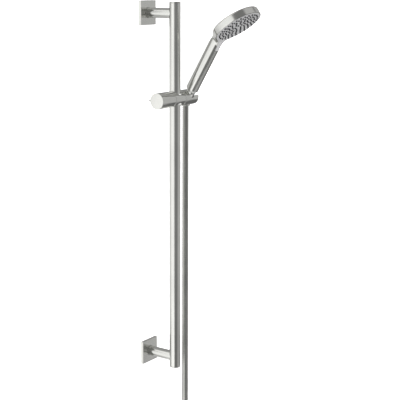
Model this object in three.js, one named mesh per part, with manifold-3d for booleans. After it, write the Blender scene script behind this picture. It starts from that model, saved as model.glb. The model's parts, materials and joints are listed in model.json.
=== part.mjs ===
// Hand shower on a wall rail: rail on two wall arms, sliding tilting holder, hand shower and metal hose.
// Millimetres, +Z up. The wall is the plane Y = 0 and the set stands out from it towards -Y.
// The origin is the middle of the upper wall plate's face on the wall.
import * as THREE from 'three';
import { mergeVertices } from 'three/addons/utils/BufferGeometryUtils.js';
import Module from 'manifold-3d';

const wasm = await Module();
wasm.setup();

// ---- Driving dimensions ------------------------------------------------------------------------
const GAP = 0.3;

const RAIL_RADIUS = 12.5;
const RAIL_WALL = 1.5;
const RAIL_LENGTH = 835;
const RAIL_TO_WALL = 78.6;
const ARM_FROM_END = 25;
const ARM_SPACING = RAIL_LENGTH - 2 * ARM_FROM_END;

const ARM_RADIUS = 11.25;
const ROSETTE_SIDE = 54;
const ROSETTE_DEPTH = 6.8;
const PLATE_RADIUS = 20;
const PLATE_DEPTH = 4.5;
const WALL_SCREW_OFFSET = 14;

const SLIDER_Z = -186;
const SLIDER_RADIUS = 17.5;
const SLIDER_HALF_LENGTH = 67.5;
const BLOCK_HALF_LENGTH = 18.5;
const SLEEVE_RADIUS = 14.5;

const SOCKET_X = 43.5;
const SOCKET_FORWARD = 4.5;
const LEAN_DEG = 30.6;
const SLOT_WIDTH = 16.4;

const HANDLE_RADIUS = 14;
const HANDLE_START = 21.5;
const HEAD_RADIUS = 55;
const HEAD_DEPTH = 17;
const HEAD_BEND_DEG = 24.4;
const HEAD_FORWARD = -32;
const HEAD_UP = 204.4;

const HOSE_RADIUS = 7.5;
const HOSE_Y = -76.6;
const HOSE_TOP_Z = SLIDER_Z - 23.8;
const HANK_RUN_GAP = 90;
const HANK_SIDE_STEP = 21;
const HANK_LOW_Z = -1165;
const HANK_HIGH_Z = -983.6;
const TIE_Z = -1075;

const SIDES = 32;
const FEW_SIDES = 16;
const HEAD_SIDES = 48;

// ---- Materials ---------------------------------------------------------------------------------
const brushed = () => new THREE.MeshStandardMaterial({ color: 0xb4b5ae, roughness: 0.3, metalness: 1 });
const hoseMetal = () => new THREE.MeshStandardMaterial({ color: 0xb0b1ab, roughness: 0.28, metalness: 1 });
const steel = () => new THREE.MeshStandardMaterial({ color: 0xa3a6a8, roughness: 0.35, metalness: 1 });
const brass = () => new THREE.MeshStandardMaterial({ color: 0xb79a55, roughness: 0.35, metalness: 1 });
const greyPlastic = () => new THREE.MeshStandardMaterial({ color: 0xb9bab9, roughness: 0.45, metalness: 0 });
const blackPlastic = () => new THREE.MeshStandardMaterial({ color: 0x26272a, roughness: 0.55, metalness: 0 });
const rubber = () => new THREE.MeshStandardMaterial({ color: 0x1c1d1f, roughness: 0.8, metalness: 0 });
const white = () => new THREE.MeshStandardMaterial({ color: 0xdcdcd6, roughness: 0.5, metalness: 0 });

// ---- Solids ------------------------------------------------------------------------------------
const rad = THREE.MathUtils.degToRad;

// Signed volume of an indexed triangle mesh, negative when its faces point inwards.
function signedVolume(points, index) {
  let sum = 0;
  const corner = [new THREE.Vector3(), new THREE.Vector3(), new THREE.Vector3()];
  for (let i = 0; i < index.length; i += 3) {
    for (let k = 0; k < 3; k += 1) corner[k].fromArray(points, 3 * index[i + k]);
    sum += corner[0].dot(corner[1].cross(corner[2]));
  }
  return sum / 6;
}

// Closed three.js geometry as a manifold solid, with merged corners and faces pointing out.
function solid(geometry) {
  const bare = geometry.clone();
  bare.deleteAttribute('normal');
  bare.deleteAttribute('uv');
  const merged = mergeVertices(bare, 1e-3);
  const points = merged.attributes.position.array;
  const all = merged.index.array;
  const kept = [];
  for (let i = 0; i < all.length; i += 3) {
    const [a, b, c] = [all[i], all[i + 1], all[i + 2]];
    if (a !== b && b !== c && c !== a) kept.push(a, b, c);
  }
  if (signedVolume(points, kept) < 0) kept.reverse();
  const mesh = new wasm.Mesh({
    numProp: 3,
    vertProperties: Float32Array.from(points),
    triVerts: Uint32Array.from(kept),
  });
  return new wasm.Manifold(mesh);
}

function geometryOf(manifold) {
  const mesh = manifold.getMesh();
  const geometry = new THREE.BufferGeometry();
  geometry.setAttribute('position', new THREE.BufferAttribute(Float32Array.from(mesh.vertProperties), 3));
  geometry.setIndex(new THREE.BufferAttribute(Uint32Array.from(mesh.triVerts), 1));
  geometry.computeVertexNormals();
  return geometry;
}

// Solid of revolution about Z. The profile is a list of [radius, z], closed on the axis or on itself.
function turned(profile, sides = SIDES) {
  const points = profile.map(([r, z]) => new THREE.Vector2(r, z));
  if (points[0].x > 0) points.push(points[0].clone());
  return solid(new THREE.LatheGeometry(points, sides).rotateX(Math.PI / 2));
}

function rod(radius, low, high, sides = SIDES) {
  return turned([[0, low], [radius, low], [radius, high], [0, high]], sides);
}

function ring(inner, outer, low, high, sides = SIDES) {
  return turned([[inner, low], [outer, low], [outer, high], [inner, high]], sides);
}

function box(x0, x1, y0, y1, z0, z1) {
  const block = new THREE.BoxGeometry(x1 - x0, y1 - y0, z1 - z0);
  return solid(block.translate((x0 + x1) / 2, (y0 + y1) / 2, (z0 + z1) / 2));
}

// Moves a solid by a three.js rotation (degrees) followed by an offset.
function placed(manifold, turn, offset = [0, 0, 0]) {
  const angles = new THREE.Euler(...turn.map(rad));
  const matrix = new THREE.Matrix4().makeRotationFromEuler(angles).setPosition(...offset);
  return solid(geometryOf(manifold).applyMatrix4(matrix));
}

const alongX = (manifold, offset) => placed(manifold, [0, 90, 0], offset);
const outOfWall = (manifold, offset) => placed(manifold, [90, 0, 0], offset);

// Outline with rounded corners, centred on the origin.
function roundedOutline(width, height, corner) {
  const shape = new THREE.Shape();
  const [w, h] = [width / 2, height / 2];
  shape.moveTo(-w + corner, -h);
  shape.lineTo(w - corner, -h);
  shape.absarc(w - corner, -h + corner, corner, -Math.PI / 2, 0);
  shape.lineTo(w, h - corner);
  shape.absarc(w - corner, h - corner, corner, 0, Math.PI / 2);
  shape.lineTo(-w + corner, h);
  shape.absarc(-w + corner, h - corner, corner, Math.PI / 2, Math.PI);
  shape.lineTo(-w, -h + corner);
  shape.absarc(-w + corner, -h + corner, corner, Math.PI, 1.5 * Math.PI);
  return shape;
}

function extruded(shape, low, high) {
  const options = { depth: high - low, bevelEnabled: false, curveSegments: 4 };
  return solid(new THREE.ExtrudeGeometry(shape, options).translate(0, 0, low));
}

// Round section for a tube that follows a path.
function roundSection(radius, sides) {
  const shape = new THREE.Shape();
  for (let i = 0; i < sides; i += 1) {
    const angle = (2 * Math.PI * i) / sides;
    const [x, y] = [radius * Math.cos(angle), radius * Math.sin(angle)];
    if (i === 0) shape.moveTo(x, y);
    else shape.lineTo(x, y);
  }
  return shape;
}

function tubeAlong(points, radius, sides, steps) {
  const path = new THREE.CatmullRomCurve3(points.map((p) => new THREE.Vector3(...p)));
  const options = { steps, bevelEnabled: false, extrudePath: path };
  return solid(new THREE.ExtrudeGeometry(roundSection(radius, sides), options));
}

// Helical wire spring about Z, from one height to the other.
function coilSpring(radius, wire, low, high, turns) {
  const points = [];
  const perTurn = 7;
  for (let i = 0; i <= turns * perTurn; i += 1) {
    const angle = (2 * Math.PI * i) / perTurn;
    const z = low + wire + ((high - low - 2 * wire) * i) / (turns * perTurn);
    points.push([radius * Math.cos(angle), radius * Math.sin(angle), z]);
  }
  return tubeAlong(points, wire, 5, turns * perTurn);
}

// ---- Scene graph -------------------------------------------------------------------------------
const assembly = new THREE.Group();

function group(parent, position, turn = [0, 0, 0]) {
  const made = new THREE.Group();
  made.position.set(...position);
  made.rotation.set(...turn.map(rad));
  parent.add(made);
  return made;
}

function piece(parent, name, manifold, material) {
  const mesh = new THREE.Mesh(geometryOf(manifold), material);
  mesh.name = name;
  parent.add(mesh);
}

// ---- Rail and wall brackets --------------------------------------------------------------------
const CAP_DEPTH = 2.5;
const CAP_STEM = 9;
const CHAMFER = 0.8;
const INSERT_HALF = 8;
const BOLT_RADIUS = 3;
const BOLT_HOLE = BOLT_RADIUS + GAP;
const RAIL_TOP = ARM_FROM_END;
const RAIL_BOTTOM = RAIL_TOP - RAIL_LENGTH;

function addRail() {
  const rail = group(assembly, [0, -RAIL_TO_WALL, 0]);
  const low = RAIL_BOTTOM + CAP_DEPTH + GAP;
  const high = RAIL_TOP - CAP_DEPTH - GAP;
  let tube = ring(RAIL_RADIUS - RAIL_WALL, RAIL_RADIUS, low, high);
  for (const z of [0, -ARM_SPACING]) {
    const boltHole = rod(BOLT_HOLE, -RAIL_RADIUS - 2, -RAIL_RADIUS + 3, FEW_SIDES);
    tube = tube.subtract(outOfWall(boltHole, [0, 0, z]));
  }
  piece(rail, 'rail_tube', tube, brushed());
  const stem = RAIL_RADIUS - RAIL_WALL - GAP;
  const cap = turned([
    [0, -CAP_STEM], [stem - CHAMFER, -CAP_STEM], [stem, CHAMFER - CAP_STEM], [stem, 0], [RAIL_RADIUS, 0],
    [RAIL_RADIUS, CAP_DEPTH - CHAMFER], [RAIL_RADIUS - CHAMFER, CAP_DEPTH], [0, CAP_DEPTH],
  ]);
  piece(group(rail, [0, 0, RAIL_TOP - CAP_DEPTH]), 'rail_top_cap', cap, brushed());
  piece(group(rail, [0, 0, RAIL_BOTTOM + CAP_DEPTH], [180, 0, 0]), 'rail_bottom_cap', cap, brushed());
}

// One wall bracket. Its own +Z points out of the wall, so its parts are turned about that axis.
function addBracket(prefix, z) {
  const bracket = group(assembly, [0, 0, z], [90, 0, 0]);
  const bossRadius = 7.7;
  const bossEnd = 20;
  const armStart = PLATE_DEPTH + GAP;
  const grubAt = 13;
  const countersink = turned([
    [0, -1], [2.4, -1], [2.4, 2], [4.3, 4], [4.3, 6], [0, 6],
  ], FEW_SIDES);
  const screw = turned([
    [0, 0], [2.1, 0], [2.1, 2], [4, 4.1], [4, 4.4], [0, 4.4],
  ], FEW_SIDES);

  let plate = turned([[0, 0], [PLATE_RADIUS, 0], [PLATE_RADIUS, PLATE_DEPTH],
    [bossRadius, PLATE_DEPTH], [bossRadius, bossEnd], [0, bossEnd]]);
  for (const [side, x] of [['left', -WALL_SCREW_OFFSET], ['right', WALL_SCREW_OFFSET]]) {
    plate = plate.subtract(placed(countersink, [0, 0, 0], [x, 0, 0]));
    piece(group(bracket, [x, 0, 0]), `${prefix}_wall_screw_${side}`, screw, steel());
  }
  piece(bracket, `${prefix}_wall_plate`, plate, steel());

  const frontSkin = 1.6;
  const sideWall = 2.2;
  const inner = ROSETTE_SIDE - 2 * sideWall;
  const outline = roundedOutline(ROSETTE_SIDE, ROSETTE_SIDE, 1.2);
  const rosette = extruded(outline, 0, ROSETTE_DEPTH)
    .subtract(box(-inner / 2, inner / 2, -inner / 2, inner / 2, -1, ROSETTE_DEPTH - frontSkin))
    .subtract(rod(ARM_RADIUS + GAP, 0, ROSETTE_DEPTH + 1));
  piece(bracket, `${prefix}_rosette`, rosette, brushed());

  // The arm is bored from the wall for the boss and the bolt, and saddled to sit round the rail.
  const boreRadius = bossRadius + GAP;
  const webStart = 50;
  const saddle = placed(rod(RAIL_RADIUS + GAP, -30, 30), [90, 0, 0], [0, 0, RAIL_TO_WALL]);
  const grubHole = placed(rod(2.8, 0, 20, FEW_SIDES), [90, 0, 0], [0, 0, grubAt]);
  const arm = rod(ARM_RADIUS, armStart, RAIL_TO_WALL - 5)
    .subtract(rod(boreRadius, 0, webStart, FEW_SIDES))
    .subtract(rod(BOLT_HOLE, 0, RAIL_TO_WALL, FEW_SIDES))
    .subtract(saddle)
    .subtract(grubHole);
  piece(bracket, `${prefix}_arm`, arm, brushed());
  const grub = rod(2.5, bossRadius + GAP + 0.1, ARM_RADIUS - 0.4, FEW_SIDES);
  piece(bracket, `${prefix}_grub_screw`, placed(grub, [90, 0, 0], [0, 0, grubAt]), steel());

  const headTop = webStart - GAP;
  const headBase = headTop - 6;
  const boltEnd = RAIL_TO_WALL + 4;
  const bolt = turned([
    [0, headBase], [5, headBase], [5, headTop], [BOLT_RADIUS, headTop], [BOLT_RADIUS, boltEnd], [0, boltEnd],
  ], FEW_SIDES);
  piece(bracket, `${prefix}_arm_bolt`, bolt, steel());
  const plug = rod(RAIL_RADIUS - RAIL_WALL - GAP, -INSERT_HALF, INSERT_HALF);
  const insert = placed(plug, [90, 0, 0], [0, 0, RAIL_TO_WALL])
    .subtract(rod(BOLT_HOLE, RAIL_TO_WALL - 20, boltEnd + 2, FEW_SIDES));
  piece(bracket, `${prefix}_rail_insert`, insert, brass());
}

// ---- Slider: clamp block, knob and clamp -------------------------------------------------------
const KNOB_INNER = 14;
const SPIGOT_RADIUS = 12;
const SPIGOT_LENGTH = 8;
const PIVOT_RADIUS = 4;
const PIVOT_HEAD_AT = 28;
const PAD_FRONT = SLEEVE_RADIUS + GAP;

function addSlider() {
  const slider = group(assembly, [0, -RAIL_TO_WALL, SLIDER_Z]);
  const half = BLOCK_HALF_LENGTH - GAP / 2;
  const sleeveHalf = 11.5;
  piece(slider, 'grip_sleeve', ring(RAIL_RADIUS + GAP, SLEEVE_RADIUS, -sleeveHalf, sleeveHalf), white());

  // The block carries a spigot on the knob's side, which the knob turns on.
  const spigotEnd = -half - SPIGOT_LENGTH;
  const block = alongX(turned([
    [0, spigotEnd], [SPIGOT_RADIUS, spigotEnd], [SPIGOT_RADIUS, -half],
    [SLIDER_RADIUS, -half], [SLIDER_RADIUS, half], [0, half],
  ]))
    .subtract(rod(PAD_FRONT, -30, 30))
    .subtract(alongX(rod(PIVOT_RADIUS + GAP, -40, -5, FEW_SIDES)))
    .subtract(alongX(rod(PIVOT_RADIUS + GAP, 5, 30, FEW_SIDES)));
  piece(slider, 'clamp_block', block, brushed());
  const bearing = alongX(ring(SPIGOT_RADIUS + GAP, KNOB_INNER - GAP, spigotEnd + 0.5, -half - 0.4));
  piece(slider, 'knob_bearing', bearing, white());

  // Pivot bolt of the holder, screwed into the block, its head in a pocket of the barrel.
  const pivotStart = PAD_FRONT + 0.2;
  const pivotEnd = PIVOT_HEAD_AT + 1.6;
  const pivot = turned([
    [0, pivotStart], [PIVOT_RADIUS, pivotStart], [PIVOT_RADIUS, PIVOT_HEAD_AT],
    [6.3, PIVOT_HEAD_AT], [6.3, pivotEnd], [0, pivotEnd],
  ], FEW_SIDES);
  piece(slider, 'holder_pivot_bolt', alongX(pivot), steel());

  // Threaded spindle that the knob draws outwards to free the sleeve.
  const threadRadius = 3;
  const spindle = turned([
    [0, -48], [threadRadius, -48], [threadRadius, -24], [4, -24], [4, -PAD_FRONT], [0, -PAD_FRONT],
  ], FEW_SIDES);
  piece(slider, 'clamp_spindle', alongX(spindle), brass());

  const knobEnd = -SLIDER_HALF_LENGTH;
  const knobMouth = -BLOCK_HALF_LENGTH - GAP / 2;
  const innerHub = -40;
  const knob = turned([
    [0, knobEnd], [SLIDER_RADIUS - CHAMFER, knobEnd], [SLIDER_RADIUS, knobEnd + CHAMFER],
    [SLIDER_RADIUS, knobMouth], [KNOB_INNER, knobMouth], [KNOB_INNER, knobEnd + 4], [7, knobEnd + 4],
    [7, innerHub], [threadRadius + GAP, innerHub], [threadRadius + GAP, -52], [0, -52],
  ]);
  piece(slider, 'clamp_knob', alongX(knob), brushed());
  const pinRoot = SLIDER_RADIUS + GAP;
  const pinTip = SLIDER_RADIUS + 8;
  const pin = turned([[0, pinRoot], [2.6, pinRoot], [1.5, pinTip], [0, pinTip]], FEW_SIDES);
  piece(slider, 'knob_lever_pin', placed(pin, [-90, 0, 0], [knobEnd + 6, 0, 0]), brushed());
  const spring = coilSpring(5.6, 0.6, innerHub + 1, spigotEnd - 0.6, 3);
  piece(slider, 'knob_spring', alongX(spring), steel());
}

// ---- Holder ------------------------------------------------------------------------------------
// Turned frame of the socket and the handset: +Z runs up the handle, +Y towards the wall.
const socketOrigin = [SOCKET_X, -RAIL_TO_WALL - SOCKET_FORWARD, SLIDER_Z];
const LINER_OUTER = 11.9;
const SOCKET_NARROW = 10.3;
const SOCKET_WIDE = 11.1;
const CONE_LENGTH = 12;

function addHolder() {
  const holder = group(assembly, [0, -RAIL_TO_WALL, SLIDER_Z]);
  const leanInto = (manifold) => placed(manifold, [LEAN_DEG, 0, 0], [SOCKET_X, -SOCKET_FORWARD, 0]);
  const slot = leanInto(box(0, 40, -SLOT_WIDTH / 2, SLOT_WIDTH / 2, -40, 40));
  const low = BLOCK_HALF_LENGTH + GAP / 2;
  const end = SLIDER_HALF_LENGTH;
  const boltHead = alongX(rod(6.6, PIVOT_HEAD_AT - GAP, 36, FEW_SIDES));
  const barrel = alongX(turned([
    [0, low], [SLIDER_RADIUS, low], [SLIDER_RADIUS, end - CHAMFER], [SLIDER_RADIUS - CHAMFER, end], [0, end],
  ]))
    .subtract(leanInto(rod(LINER_OUTER + GAP, -40, 40)))
    .subtract(slot)
    .subtract(alongX(rod(PIVOT_RADIUS + GAP, 0, 35, FEW_SIDES)))
    .subtract(boltHead)
    .subtract(alongX(rod(10.3, 0, low + 1.8, FEW_SIDES)));
  piece(holder, 'holder_barrel', barrel, brushed());
  const washer = alongX(ring(5, 10, low + 0.2, low + 1.5, FEW_SIDES));
  piece(holder, 'friction_washer', washer, blackPlastic());

  // Plastic liner of the socket: conical where the nut wedges, trimmed flush with the barrel.
  const trim = alongX(rod(SLIDER_RADIUS - 0.5, 20, 70));
  const liner = leanInto(turned([
    [SOCKET_NARROW, -30], [LINER_OUTER, -30], [LINER_OUTER, 30],
    [SOCKET_WIDE, 30], [SOCKET_WIDE, CONE_LENGTH], [SOCKET_NARROW, 0],
  ]))
    .intersect(trim)
    .subtract(slot)
    .subtract(boltHead);
  piece(holder, 'socket_liner', liner, blackPlastic());

  const collar = placed(ring(9.3, 10.5, -19.4, 0), [0, 0, 0], [SOCKET_X, HOSE_Y + RAIL_TO_WALL, 0])
    .subtract(alongX(rod(SLIDER_RADIUS + GAP, 0, 80)))
    .subtract(box(SOCKET_X, 80, -SLOT_WIDTH / 2, SLOT_WIDTH / 2, -40, 0));
  piece(holder, 'holder_collar', collar, brushed());
}

// ---- Cone nut and elbow of the hose ------------------------------------------------------------
const NUT_LOW = -8;
const NUT_HIGH = HANDLE_START - GAP;
const NUT_BORE = 6.4;
const STUB_RADIUS = 8.4;

function addHoseNut(lean) {
  const clearance = 0.4;
  const [narrow, wide] = [SOCKET_NARROW - GAP, SOCKET_WIDE - clearance];
  const nut = turned([
    [NUT_BORE, NUT_LOW], [narrow, NUT_LOW], [narrow, 0], [wide, CONE_LENGTH], [wide, NUT_HIGH - 0.6],
    [wide - 0.6, NUT_HIGH], [STUB_RADIUS + GAP, NUT_HIGH], [STUB_RADIUS + GAP, 7], [NUT_BORE, 3],
  ]);
  piece(lean, 'cone_nut', nut, brushed());
  piece(lean, 'nut_washer', ring(4.5, 8.2, 7.5, 9.3, FEW_SIDES), rubber());
  // The elbow leaves the nut straight and then turns down towards the hanging hose.
  const elbowPath = [[0, 0, 2.5], [0, 0, -3], [0, 0, -8.5], [0, -0.7, -13.5], [0, -3.6, -19.2]];
  const bore = [[0, 0, 6], ...elbowPath.slice(1, -1), [0, -5.1, -21.8]];
  const elbow = tubeAlong(elbowPath, 6, 12, 8).subtract(tubeAlong(bore, 4, 10, 9));
  piece(lean, 'hose_elbow', elbow, steel());
}

// ---- Handset -----------------------------------------------------------------------------------
const headOffset = [0, HEAD_FORWARD, HEAD_UP];
const headTurn = [HEAD_BEND_DEG - 90, 0, 0];
const intoHead = (manifold) => placed(manifold, headTurn, headOffset);
const BORE_RADIUS = 6.3;
const BORE_BACK = 4;
const SKIN = 2.5;
const FAR = 200;

// The neck has a slanted flat that the select button sits in: intoNeck's +Z points out of it.
const bend = rad(HEAD_BEND_DEG);
const faceLow = [HEAD_FORWARD + HEAD_RADIUS * Math.sin(bend), HEAD_UP - HEAD_RADIUS * Math.cos(bend)];
const neckLow = [-HANDLE_RADIUS, faceLow[1] - 22.5];
const neckMiddle = [0, (faceLow[0] + neckLow[0]) / 2, (faceLow[1] + neckLow[1]) / 2];
const neckTilt = Math.atan2(faceLow[1] - neckLow[1], faceLow[0] - neckLow[0]);
const neckTurn = [THREE.MathUtils.radToDeg(neckTilt), 0, 0];
const intoNeck = (manifold) => placed(manifold, neckTurn, neckMiddle);
const BUTTON_LENGTH = 20;
const BUTTON_WIDTH = 15;
const POCKET_DEPTH = 4.4;
const SEAT_DEPTH = 6.4;

// Head cup, open towards the face, about its own axis.
function headCup() {
  const cup = turned([
    [0, 0], [HEAD_RADIUS - 0.5, 0], [HEAD_RADIUS, 0.5], [HEAD_RADIUS, HEAD_DEPTH - 4],
    [HEAD_RADIUS - 1.2, HEAD_DEPTH - 1.2], [HEAD_RADIUS - 4, HEAD_DEPTH], [0, HEAD_DEPTH],
  ], HEAD_SIDES);
  return { cup: intoHead(cup), cavity: intoHead(rod(HEAD_RADIUS - SKIN, -5, HEAD_DEPTH - SKIN, HEAD_SIDES)) };
}

// Round handle, trimmed where it reaches the head so that it stays within the head's two faces.
function handleRod() {
  const inFront = intoHead(box(-FAR, FAR, -FAR, FAR, -FAR, 0));
  const behind = intoHead(box(-FAR, FAR, -FAR, FAR, HEAD_DEPTH, FAR));
  const upperHalf = box(-FAR, FAR, -FAR, FAR, faceLow[1], 2 * FAR);
  return turned([
    [0, HANDLE_START], [HANDLE_RADIUS - 0.6, HANDLE_START], [HANDLE_RADIUS, HANDLE_START + 0.6],
    [HANDLE_RADIUS, 172], [0, 172],
  ])
    .subtract(inFront.intersect(upperHalf))
    .subtract(behind.intersect(upperHalf));
}

function addHandset(lean) {
  const { cup, cavity } = headCup();
  const [halfWidth, halfLength] = [BUTTON_WIDTH / 2 + GAP, BUTTON_LENGTH / 2 + GAP];
  const flat = intoNeck(box(-40, 40, -12.2, 12.2, 0, 30));
  const pocket = intoNeck(box(-halfWidth, halfWidth, -halfLength, halfLength, -POCKET_DEPTH, 5));
  const springSeat = intoNeck(rod(2.6, -SEAT_DEPTH, 0, FEW_SIDES));
  const channelRod = rod(4, HEAD_RADIUS - 15, HEAD_RADIUS + 8, FEW_SIDES);
  const channel = intoHead(placed(channelRod, [-90, 0, 0], [0, 0, 9]));
  const shell = handleRod().add(cup)
    .subtract(cavity)
    .subtract(channel)
    .subtract(rod(STUB_RADIUS + GAP, 0, 45, FEW_SIDES))
    .subtract(placed(rod(BORE_RADIUS, 0, 155, FEW_SIDES), [0, 0, 0], [0, BORE_BACK, 0]))
    .subtract(flat)
    .subtract(pocket)
    .subtract(springSeat);
  piece(lean, 'handset_shell', shell, brushed());

  // Threaded stub glued into the handle, and the lined waterway that runs from it to the head.
  const stub = turned([
    [5, 10], [STUB_RADIUS - 0.6, 10], [STUB_RADIUS, 11], [STUB_RADIUS, 44], [5, 44],
  ], FEW_SIDES);
  piece(lean, 'handset_thread', stub, greyPlastic());
  piece(lean, 'flow_strainer', ring(1.2, 4.7, 12, 20, FEW_SIDES), white());
  const waterway = ring(4.2, BORE_RADIUS - GAP, 45, 152, FEW_SIDES);
  piece(group(lean, [0, BORE_BACK, 0]), 'waterway_tube', waterway, white());
  const spring = coilSpring(1.9, 0.22, GAP - SEAT_DEPTH, -POCKET_DEPTH - 0.1, 2);
  piece(lean, 'button_spring', intoNeck(spring), steel());

  // Layers of the head, from the face inwards.
  const head = group(lean, headOffset, headTurn);
  const facePlate = rod(HEAD_RADIUS - SKIN - GAP, 0.3, 3, HEAD_SIDES);
  piece(head, 'face_plate', facePlate, greyPlastic());
  piece(head, 'nozzle_mat', rod(HEAD_RADIUS - 9, 3.3, 5.3), rubber());
  piece(head, 'head_seal_ring', ring(HEAD_RADIUS - 6.5, HEAD_RADIUS - 3.5, 3.4, 5.6), rubber());
  piece(head, 'distribution_disc', rod(HEAD_RADIUS - 7.5, 5.9, 8.4), white());
}

function addSelectButton(lean) {
  const [halfWidth, halfLength] = [BUTTON_WIDTH / 2, BUTTON_LENGTH / 2];
  const button = box(-halfWidth, halfWidth, -halfLength, halfLength, -2.4, 0.2);
  piece(lean, 'select_button', intoNeck(button), greyPlastic());
}

// ---- Hose, spare length and lower end ----------------------------------------------------------
function addHose() {
  const inner = HANK_RUN_GAP / 2 - HOSE_RADIUS;
  const outer = HANK_RUN_GAP / 2 + HOSE_RADIUS;
  const neckTop = HANK_HIGH_Z + 38;
  const route = [
    [SOCKET_X, HOSE_Y, HOSE_TOP_Z],
    [SOCKET_X, HOSE_Y, -350],
    [SOCKET_X, HOSE_Y, -500],
    [SOCKET_X, HOSE_Y, -650],
    [SOCKET_X, HOSE_Y, -800],
    [SOCKET_X, HOSE_Y, neckTop + GAP],
  ];
  piece(assembly, 'shower_hose', tubeAlong(route, HOSE_RADIUS, 12, 20), hoseMetal());

  // The spare hose hangs folded in three runs: down, up, and down again beside the first.
  const outline = new THREE.Shape();
  outline.moveTo(-outer, HANK_LOW_Z);
  outline.absarc(0, HANK_LOW_Z, outer, Math.PI, 2 * Math.PI);
  outline.lineTo(outer, neckTop);
  outline.lineTo(inner, neckTop);
  outline.absarc(0, HANK_HIGH_Z, outer, Math.acos(inner / outer), Math.PI);
  const upright = (manifold, x) => placed(manifold, [90, 90, 0], [x, HOSE_Y - HANK_RUN_GAP / 2, 0]);
  const first = upright(extruded(outline, -HOSE_RADIUS, HOSE_RADIUS), SOCKET_X);
  const upper = new THREE.Shape();
  upper.moveTo(inner, HANK_LOW_Z);
  upper.lineTo(outer, HANK_LOW_Z);
  upper.lineTo(outer, HANK_HIGH_Z);
  upper.absarc(0, HANK_HIGH_Z, outer, 0, Math.PI * 0.6);
  upper.lineTo(inner, HANK_HIGH_Z);
  const second = upright(extruded(upper, HOSE_RADIUS - 1, HANK_SIDE_STEP + HOSE_RADIUS), SOCKET_X);
  piece(assembly, 'hose_hank', first.add(second), hoseMetal());

  const hankWidth = HANK_SIDE_STEP + 2 * HOSE_RADIUS;
  const tieOutside = extruded(roundedOutline(hankWidth + 4, 2 * outer + 4, 2.5), -6, 6);
  const tieInside = extruded(roundedOutline(hankWidth + 0.8, 2 * outer + 0.8, 0.6), -7, 7);
  const tiePlace = [SOCKET_X + HANK_SIDE_STEP / 2, HOSE_Y - HANK_RUN_GAP / 2, TIE_Z];
  piece(group(assembly, tiePlace), 'hose_tie', tieOutside.subtract(tieInside), blackPlastic());

  const end = group(assembly, [SOCKET_X + HANK_SIDE_STEP, HOSE_Y, HANK_LOW_Z - GAP]);
  const ferrule = turned([
    [4.5, -24.5], [9, -24.5], [9, -22], [6.4, -22], [6.4, -15], [8.6, -15], [8.6, 0], [4.5, 0],
  ], FEW_SIDES);
  piece(end, 'hose_end_ferrule', ferrule, brushed());
  const nut = turned([
    [9.4, -39], [11.4, -39], [12, -38.4], [12, -17], [11.4, -16.4], [6.9, -16.4], [6.9, -21.6], [9.4, -21.6],
  ]);
  piece(end, 'hose_end_nut', nut, brushed());
  piece(end, 'hose_end_washer', ring(5, 9, -27, -24.9, FEW_SIDES), rubber());
}

addRail();
addBracket('upper', 0);
addBracket('lower', -ARM_SPACING);
addSlider();
addHolder();
const lean = group(assembly, socketOrigin, [LEAN_DEG, 0, 0]);
addHoseNut(lean);
addHandset(lean);
addSelectButton(lean);
addHose();

export default assembly;
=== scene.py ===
# Hand shower on a wall rail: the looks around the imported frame.
# Metres, +Z up. The wall is the plane Y = 0 and the set stands out from it towards -Y.
import json
import math

import bmesh
import bpy
import numpy as np
from mathutils import Matrix, Vector


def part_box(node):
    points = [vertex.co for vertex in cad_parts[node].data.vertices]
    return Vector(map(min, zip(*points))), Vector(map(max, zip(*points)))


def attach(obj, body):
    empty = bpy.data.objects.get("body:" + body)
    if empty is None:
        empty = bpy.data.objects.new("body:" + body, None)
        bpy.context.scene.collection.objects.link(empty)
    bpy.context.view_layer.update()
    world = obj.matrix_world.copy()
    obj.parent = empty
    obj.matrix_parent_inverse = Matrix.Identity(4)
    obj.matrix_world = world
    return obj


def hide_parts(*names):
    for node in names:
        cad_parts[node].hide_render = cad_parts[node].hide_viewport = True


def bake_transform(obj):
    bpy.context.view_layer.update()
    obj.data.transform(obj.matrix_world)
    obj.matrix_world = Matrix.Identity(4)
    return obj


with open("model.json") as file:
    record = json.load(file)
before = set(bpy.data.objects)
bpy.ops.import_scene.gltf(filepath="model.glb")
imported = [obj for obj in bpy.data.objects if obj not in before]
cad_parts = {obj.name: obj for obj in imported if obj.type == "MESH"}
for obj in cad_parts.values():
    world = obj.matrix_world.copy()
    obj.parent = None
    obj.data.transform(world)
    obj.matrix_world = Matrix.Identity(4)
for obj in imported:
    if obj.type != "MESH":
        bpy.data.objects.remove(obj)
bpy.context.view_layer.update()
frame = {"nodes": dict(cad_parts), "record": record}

MM = 0.001
NEAR_ZERO = 1e-6
SMOOTH_ANGLE = 30

# ---- Driving dimensions in metres, the frame's own unless a comment says otherwise --------------
RAIL_RADIUS = 12.5 * MM
RAIL_WALL = 1.5 * MM
ARM_RADIUS = 11.25 * MM
SLIDER_RADIUS = 17.5 * MM
SLEEVE_RADIUS = 14.5 * MM
SLIDER_EDGE = 0.7 * MM
SLIDER_DROP = 565 * MM
SOCKET_RADIUS = 11.4 * MM  # narrower than the frame's own socket
SOCKET_X = 43.5 * MM
SOCKET_FORWARD = 4.5 * MM
SLOT_HALF = 8.2 * MM
LEAN = math.radians(30.6)
HANDLE_RADIUS = 14 * MM
HANDLE_START = 21.5 * MM
NECK_LENGTH = 22.5 * MM
HEAD_RADIUS = 55 * MM
HEAD_DEPTH = 17 * MM
HEAD_FORWARD = -32 * MM
HEAD_UP = 204.4 * MM
HEAD_BEND = math.radians(24.4)
HOSE_RADIUS = 7.5 * MM
HOSE_Y = -76.6 * MM
FOLD_RADIUS = 45 * MM
RIM = 2.3 * MM
SEAM = 0.35 * MM
TAIL_HALF = 7 * MM
TAIL_END = -HEAD_RADIUS - 24 * MM


def middle(node):
    """Centre of a frame node's box."""
    low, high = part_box(node)
    return (low + high) / 2


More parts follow.
